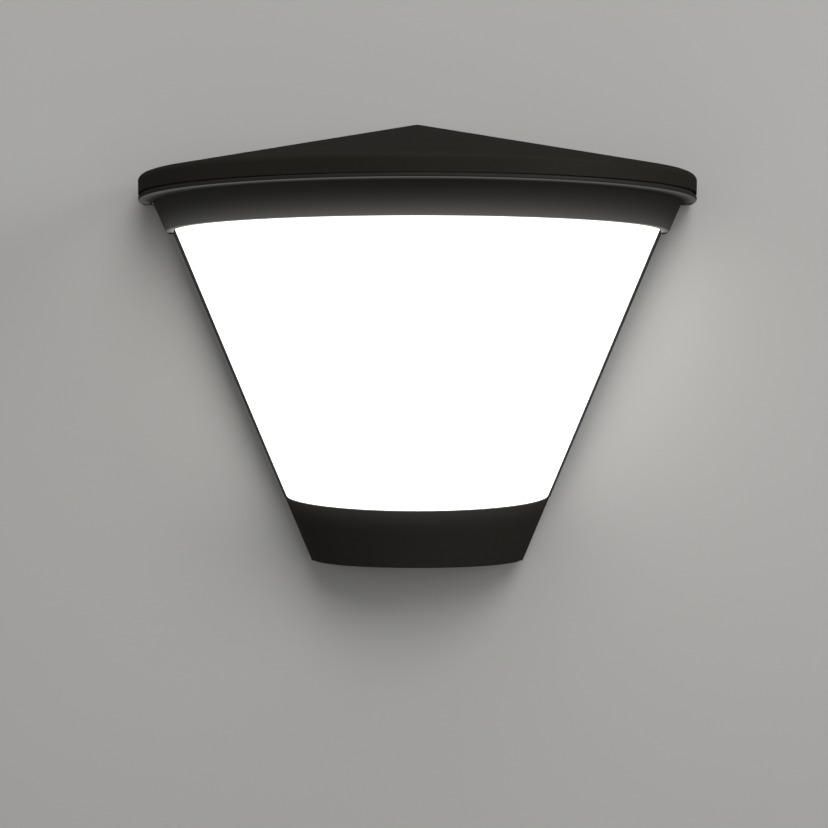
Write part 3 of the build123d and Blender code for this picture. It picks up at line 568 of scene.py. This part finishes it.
low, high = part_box("lock_screw")
settle_screws("lock_screw", [(0, (low.y + high.y) / 2, low.z + m4["head_height"])], upward,
              high.z - low.z - m4["head_height"], m4)


# Gaskets: grey silicone under the opal's flange and round its foot, black rubber in the roof's seam.
# All three are half rings punched from flat sheet, with a dull even skin.
silicone_tone = (0.15, 0.15, 0.15, 1.0)
silicone_shade = (0.19, 0.19, 0.19, 1.0)
silicone = dressed("grey_silicone", moulded, {
    "Tone": silicone_tone, "Shade": silicone_shade, "Grain Scale": 1800.0, "Rough Low": 0.50,
    "Rough High": 0.66,
}, relief=0.00002, edge=0.0002, fixed={"Specular IOR Level": 0.4})
dress("diffuser_gasket", silicone)
dress("foot_gasket", silicone)
dress("cap_gasket", rubber)


# Reflector: a thin sheet of white polypropylene behind the light source, cut round the wiring box.
# It is matt, with a faint flow mottle.
sheet_tone = (0.84, 0.84, 0.82, 1.0)
sheet_shade = (0.79, 0.79, 0.77, 1.0)
white_sheet = dressed("white_sheet", moulded, {
    "Tone": sheet_tone, "Shade": sheet_shade, "Grain Scale": 900.0, "Rough Low": 0.55, "Rough High": 0.7,
}, relief=0.00002, edge=0.0002, fixed={})
dress("reflector", white_sheet)


# Light board: an aluminium core board under white solder mask, on the front of the wiring box.
# Its wide tracks run down the four columns of packages and stand up a little under the mask.
mask_tone = (0.80, 0.80, 0.77, 1.0)
track_tone = (0.72, 0.72, 0.66, 1.0)
column_pitch = 0.015
track_half_width = 0.0011
track_slope = 0.85
track_relief = 0.00008
mask_mottle = 400.0
mottle_share = 0.06

board, tree, shader = new_finish("white_board", {"Roughness": 0.38})
place = object_place(tree)
folded = math_step(tree, "PINGPONG", split(tree, place)["X"], column_pitch / 2)
tracks = spread(tree, folded, column_pitch / 2 - track_half_width,
                column_pitch / 2 - track_half_width * track_slope)
mottled = math_step(tree, "MULTIPLY_ADD", noise_at(tree, place, mask_mottle), mottle_share, tracks)
tree.links.new(colour_mix(tree, tracks, mask_tone, track_tone), shader.inputs["Base Color"])
emboss(tree, shader, mottled, track_relief)
dress("led_board", board)


# Light packages: white moulded frames soldered to the board, each with a yellow phosphor fill that
# glows while the lamp is on.
package_columns = 4
package_rows = 6
row_pitch = 0.013
package_size = 0.0032
package_height = 0.0009
frame_border = 0.00035
fill_sink = 0.00012
frame_tone = (0.82, 0.82, 0.80, 1.0)
frame_shade = (0.76, 0.76, 0.74, 1.0)
fill_tone = (0.88, 0.66, 0.16, 1.0)
fill_glow = (1.0, 0.90, 0.62, 1.0)
fill_rim = (1.0, 0.74, 0.28, 1.0)
fill_strength = 1.6
fill_powder = 1800.0

package_frame = dressed("package_frame", moulded, {
    "Tone": frame_tone, "Shade": frame_shade, "Grain Scale": 2500.0, "Rough Low": 0.35, "Rough High": 0.45,
}, relief=0.000004, edge=0.00008, fixed={})

phosphor, tree, shader = new_finish("phosphor_fill", {
    "Base Color": fill_tone, "Roughness": 0.25, "Emission Strength": fill_strength,
})
powder = noise_at(tree, object_place(tree), fill_powder)
tree.links.new(colour_mix(tree, powder, fill_rim, fill_glow), shader.inputs["Emission Color"])

low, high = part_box("led_packages")
middle = (low + high) / 2
packages = bmesh.new()
for column in range(package_columns):
    for row in range(package_rows):
        x = middle.x + (column - (package_columns - 1) / 2) * column_pitch
        z = middle.z + (row - (package_rows - 1) / 2) * row_pitch
        made = bmesh.ops.create_cube(packages, size=1.0, matrix=Matrix.Translation((x, middle.y, z))
                                     @ Matrix.Diagonal((package_size, package_height, package_size, 1.0)))
        faces = {face for corner in made["verts"] for face in corner.link_faces}
        front = min(faces, key=lambda face: face.calc_center_median().y)
        bmesh.ops.inset_individual(packages, faces=[front], thickness=frame_border)
        bmesh.ops.translate(packages, vec=(0, fill_sink, 0), verts=front.verts)
        front.material_index = 1
settle("led_packages_filled", packages, [package_frame, phosphor], ["led_packages"])


# Board connector: a two-way wire plug of white nylon, pushed into a soldered header on the board.
# The plug has a contact window over each lead, and the leads go in from below.
nylon_tone = (0.74, 0.73, 0.68, 1.0)
nylon_shade = (0.68, 0.67, 0.61, 1.0)
header_depth = 0.0025
header_border = 0.0004
plug_round = 0.0003
window_border = 0.0012
window_sink = 0.0005
well_border = 0.0008
well_depth = 0.0020
face_slack = plug_round / 10
straight_down = -0.99
nylon = dressed("white_nylon", moulded, {
    "Tone": nylon_tone, "Shade": nylon_shade, "Grain Scale": 1600.0, "Rough Low": 0.34, "Rough High": 0.48,
}, relief=0.000015, edge=0.00015, fixed={})

low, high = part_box("led_connector")
middle = (low + high) / 2
connector = bmesh.new()
header_place = Matrix.Translation((middle.x, high.y - header_depth / 2, middle.z))
bmesh.ops.create_cube(connector, size=1.0, matrix=header_place
                      @ Matrix.Diagonal((high.x - low.x, header_depth, high.z - low.z, 1.0)))
front = min(connector.faces, key=lambda face: face.calc_center_median().y)
bmesh.ops.inset_individual(connector, faces=[front], thickness=header_border)
plug = bmesh.ops.extrude_discrete_faces(connector, faces=[front])["faces"][0]
bmesh.ops.translate(connector, vec=(0, low.y - high.y + header_depth, 0), verts=plug.verts)
bmesh.ops.bevel(connector, geom=list(plug.edges), offset=plug_round, affect="EDGES", segments=2, profile=0.5,
                material=-1)
bmesh.ops.bisect_plane(connector, geom=connector.verts[:] + connector.edges[:] + connector.faces[:],
                       plane_co=middle, plane_no=(1, 0, 0))
connector.normal_update()
windows = [face for face in connector.faces if face.calc_center_median().y < low.y + face_slack]
wells = [face for face in connector.faces if face.normal.z < straight_down
         and face.calc_center_median().y < high.y - header_depth]
for faces, border, sink in (
    (windows, window_border, (0, window_sink, 0)),
    (wells, well_border, (0, 0, well_depth)),
):
    bmesh.ops.inset_individual(connector, faces=faces, thickness=border)
    bmesh.ops.translate(connector, vec=sink, verts=[v for face in faces for v in face.verts])
settle("led_connector_plugged", connector, [nylon], ["led_connector"])


# Small screws: the same cross-recess screws in 3 mm, which hold the board, the driver and the
# terminal block. The board's four are driven from the front, the others from behind.
m3 = {"head_radius": 0.0028, "head_height": 0.0020, "radius": 0.0015, "pitch": 0.0005}

low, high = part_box("led_board_screws")
row = (low.x + m3["head_radius"], high.x - m3["head_radius"])
column = (low.z + m3["head_radius"], high.z - m3["head_radius"])
seats = [(x, low.y + m3["head_height"], z) for x in row for z in column]
settle_screws("led_board_screws", seats, -to_front, high.y - low.y - m3["head_height"], m3)

for node in ("driver_screws", "terminal_fixing_screw"):
    low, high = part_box(node)
    under_head = high.y - m3["head_height"]
    row = sorted({round(low.x + m3["head_radius"], 6), round(high.x - m3["head_radius"], 6)})
    seats = [(x, under_head, (low.z + high.z) / 2) for x in row]
    settle_screws(node, seats, to_front, under_head - low.y, m3)


# Driver: a potted supply in a light grey moulded case with a fitted lid, screwed down by two ears.
# The mould has a fine spark texture.
case_tone = (0.58, 0.58, 0.57, 1.0)
case_shade = (0.54, 0.54, 0.53, 1.0)
grey_moulding = dressed("grey_moulding", moulded, {
    "Tone": case_tone, "Shade": case_shade, "Grain Scale": 2000.0, "Rough Low": 0.50, "Rough High": 0.64,
}, relief=0.00004, edge=0.0005, fixed={})
dress("driver_case", grey_moulding)
dress("driver_lid", grey_moulding)


# Terminal block: three moulded poles on a web, with tinned brass sleeves that take the cable's cores.
# Clamp screws stand in the wells, two to a pole.
brass_tone = (0.62, 0.56, 0.42, 1.0)
brass_stain = (0.50, 0.43, 0.29, 1.0)
poles = 3
pole_pitch = 0.011
clamp_head_radius = 0.0014
clamp_head_share = 0.35
clamp_shank_share = 0.92
clamp_pitch = 0.0005
tinned_brass = dressed("tinned_brass", plating, {
    "Tone": brass_tone, "Stain": brass_stain, "Cloud Scale": 300.0, "Streaks": (2000.0, 2000.0, 300.0),
    "Rough Low": 0.26, "Rough High": 0.42,
}, relief=0.000008, edge=0.00015, fixed={"Metallic": 1.0})
dress("terminal_block", nylon)
dress("terminal_sleeves", tinned_brass)

low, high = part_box("terminal_screws")
clamp_length = high.y - low.y
clamp_head = clamp_length * clamp_head_share
row = [low.x + clamp_head_radius + pole * pole_pitch for pole in range(poles)]
column = (low.z + clamp_head_radius, high.z - clamp_head_radius)
seats = [(x, high.y - clamp_head, z) for x in row for z in column]
settle_screws("terminal_screws", seats, to_front, clamp_length - clamp_head, {
    "head_radius": clamp_head_radius, "head_height": clamp_head,
    "radius": clamp_head_radius * clamp_shank_share, "pitch": clamp_pitch,
})


# Earth point: a ring tag of tinned brass, crimped on the earth lead.
# One case screw clamps it on a boss of the wiring box.
dress("earth_ring", tinned_brass)
low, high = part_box("earth_screw")
under_head = high.y - m4["head_height"]
settle_screws("earth_screw", [((low.x + high.x) / 2, under_head, (low.z + high.z) / 2)], to_front,
              under_head - low.y, m4)


# Leads: silicone insulated wire from the clamps to the driver and the earth tag, and two thinner ones
# through a rubber bush to the board. The earth lead is green with a yellow stripe.
lead_radius = 0.0010
board_lead_radius = 0.0008
clamp_depth = 0.0215
clamp_mouth = -0.0050
clamp_bend = -0.0150
driver_depth = 0.0210
driver_bend = -0.0210
driver_mouth = -0.0270
earth_tag_depth = 0.0231
outlet_depth = 0.0180
bush_height = -0.0144
plug_depth = 0.0368
plug_mouth = -0.0035
tube_sides = 12
stripe_sides = 5
line_order = 3
line_steps = 12
lead_crease = 50.0
dress("lead_grommet", rubber)


def insulation(name, tone, shade):
    """Glossy coloured wire insulation with a slight flow in its colour."""
    return dressed(name, moulded, {
        "Tone": (*tone, 1.0), "Shade": (*shade, 1.0), "Grain Scale": 1200.0, "Rough Low": 0.30,
        "Rough High": 0.42,
    }, relief=0.000008, edge=0.0001, fixed={})


def add_lead(node, route, radius, materials):
    """Lays a lead along the smooth line of its route of (x, depth, z) points."""
    line = bpy.data.curves.new(node + "_line", "CURVE")
    line.dimensions = "3D"
    spline = line.splines.new("NURBS")
    spline.points.add(len(route) - 1)
    for point, (x, depth, z) in zip(spline.points, route):
        point.co = (x, -depth, z, 1.0)
    spline.order_u = line_order
    spline.use_endpoint_u = True
    spline.resolution_u = line_steps
    holder = bpy.data.objects.new(node + "_line", line)
    bpy.context.scene.collection.objects.link(holder)
    bpy.context.view_layer.update()
    traced = bpy.data.meshes.new_from_object(holder)
    points = [vertex.co.copy() for vertex in traced.vertices]
    bpy.data.meshes.remove(traced)
    bpy.data.objects.remove(holder)
    tube = bmesh.new()
    here = points[0]
    heading = (points[1] - here).normalized()
    start = Matrix.Translation(here) @ heading.to_track_quat("Z", "Y").to_matrix().to_4x4()
    bmesh.ops.create_circle(tube, cap_ends=True, radius=radius, segments=tube_sides, matrix=start)
    edges = list(tube.edges)
    for index, there in enumerate(points[1:], 1):
        after = points[min(index + 1, len(points) - 1)]
        course = (after - here).normalized()
        grown = bmesh.ops.extrude_edge_only(tube, edges=edges)["geom"]
        walls = [item for item in grown if isinstance(item, bmesh.types.BMFace)]
        moved = [item for item in grown if isinstance(item, bmesh.types.BMVert)]
        turn = heading.rotation_difference(course).to_matrix().to_4x4()
        swing = Matrix.Translation(there) @ turn @ Matrix.Translation(-here)
        bmesh.ops.transform(tube, matrix=swing, verts=moved)
        ahead = []
        for count, edge in enumerate(edges):
            wall = next(face for face in walls if edge in face.edges)
            wall.material_index = len(materials) - 1 if count < stripe_sides else 0
            ahead.append(next(e for e in wall.edges if e in grown and all(v in moved for v in e.verts)))
        edges = ahead
        heading = course
        here = there
    bmesh.ops.contextual_create(tube, geom=edges)
    bmesh.ops.recalc_face_normals(tube, faces=tube.faces)
    settle(node + "_wire", tube, materials, [node], lead_crease)


brown = insulation("brown_insulation", (0.13, 0.05, 0.022), (0.10, 0.038, 0.018))
blue = insulation("blue_insulation", (0.028, 0.12, 0.40), (0.022, 0.10, 0.34))
green = insulation("green_insulation", (0.03, 0.24, 0.04), (0.025, 0.20, 0.035))
yellow = insulation("yellow_insulation", (0.72, 0.56, 0.03), (0.66, 0.50, 0.03))
red = insulation("red_insulation", (0.42, 0.018, 0.016), (0.36, 0.015, 0.014))
black = insulation("black_insulation", (0.016, 0.016, 0.016), (0.022, 0.022, 0.022))

for node, clamp_x, driver_x, material, slot in (
    ("live_lead", -0.0290, -0.0230, brown, "brown_insulation"),
    ("neutral_lead", -0.0180, -0.0150, blue, "blue_insulation"),
):
    add_lead(node, [
        (clamp_x, clamp_depth, clamp_mouth), (clamp_x, clamp_depth, clamp_bend),
        (driver_x, driver_depth, driver_bend), (driver_x, driver_depth, driver_mouth),
    ], lead_radius, [material])
add_lead("earth_lead", [
    (-0.0070, clamp_depth, clamp_mouth), (-0.0070, clamp_depth, clamp_bend), (0.0015, clamp_depth, -0.0220),
    (0.0100, earth_tag_depth, -0.0139), (0.0100, earth_tag_depth, -0.0039),
], lead_radius, [green, yellow])
for node, x, material, slot in (
    ("led_plus_lead", 0.0132, red, "red_insulation"),
    ("led_minus_lead", 0.0168, black, "black_insulation"),
):
    add_lead(node, [
        (x, outlet_depth, driver_mouth), (x, outlet_depth, bush_height),
        (x, plug_depth, bush_height), (x, plug_depth, plug_mouth),
    ], board_lead_radius, [material])


# Opal: a half cone of moulded white acrylic, lit from inside so evenly that no package shows.
# It hangs by its flange in the collar, and its spigot stands in the cup, where less light gets to, so its
# glow fades there as painted shade.
opal_tone = (0.90, 0.90, 0.88, 1.0)
opal_light = (1.0, 0.995, 0.98, 1.0)
opal_soft = (0.985, 0.98, 0.965, 1.0)
opal_strength = 2.2
opal_haze = 18.0
shaded_glow_share = 0.35
head_fade = 0.0170
foot_fade = -0.0070

opal, tree, shader = new_finish("lit_opal", {
    "Base Color": opal_tone, "Roughness": 0.28, "Emission Strength": opal_strength,
})
place = object_place(tree)
even = colour_mix(tree, noise_at(tree, place, opal_haze), opal_light, opal_soft)
height = split(tree, place)["Z"]
# The glow is painted darker as shade towards its head inside the collar and towards its foot inside the cup.
painted_head_shade = spread(tree, height, lip_level, lip_level + head_fade, 1.0, shaded_glow_share)
painted_foot_shade = spread(tree, height, cup_top, cup_top + foot_fade, 1.0, shaded_glow_share)
tree.links.new(scaled(tree, even, product(tree, painted_head_shade, painted_foot_shade)), shader.inputs["Emission Color"])
dress("diffuser", opal)


# Roof cap: a ribbed casting in the same coat, lowered on last and clamped by its tongue from behind.
# Weather has taken the gloss off its coat.
weathered = {"Specular IOR Level": 0.08}
dress("roof_cap", dressed("roof_coat", coated, coat_values, coat_relief, coat_edge, weathered))
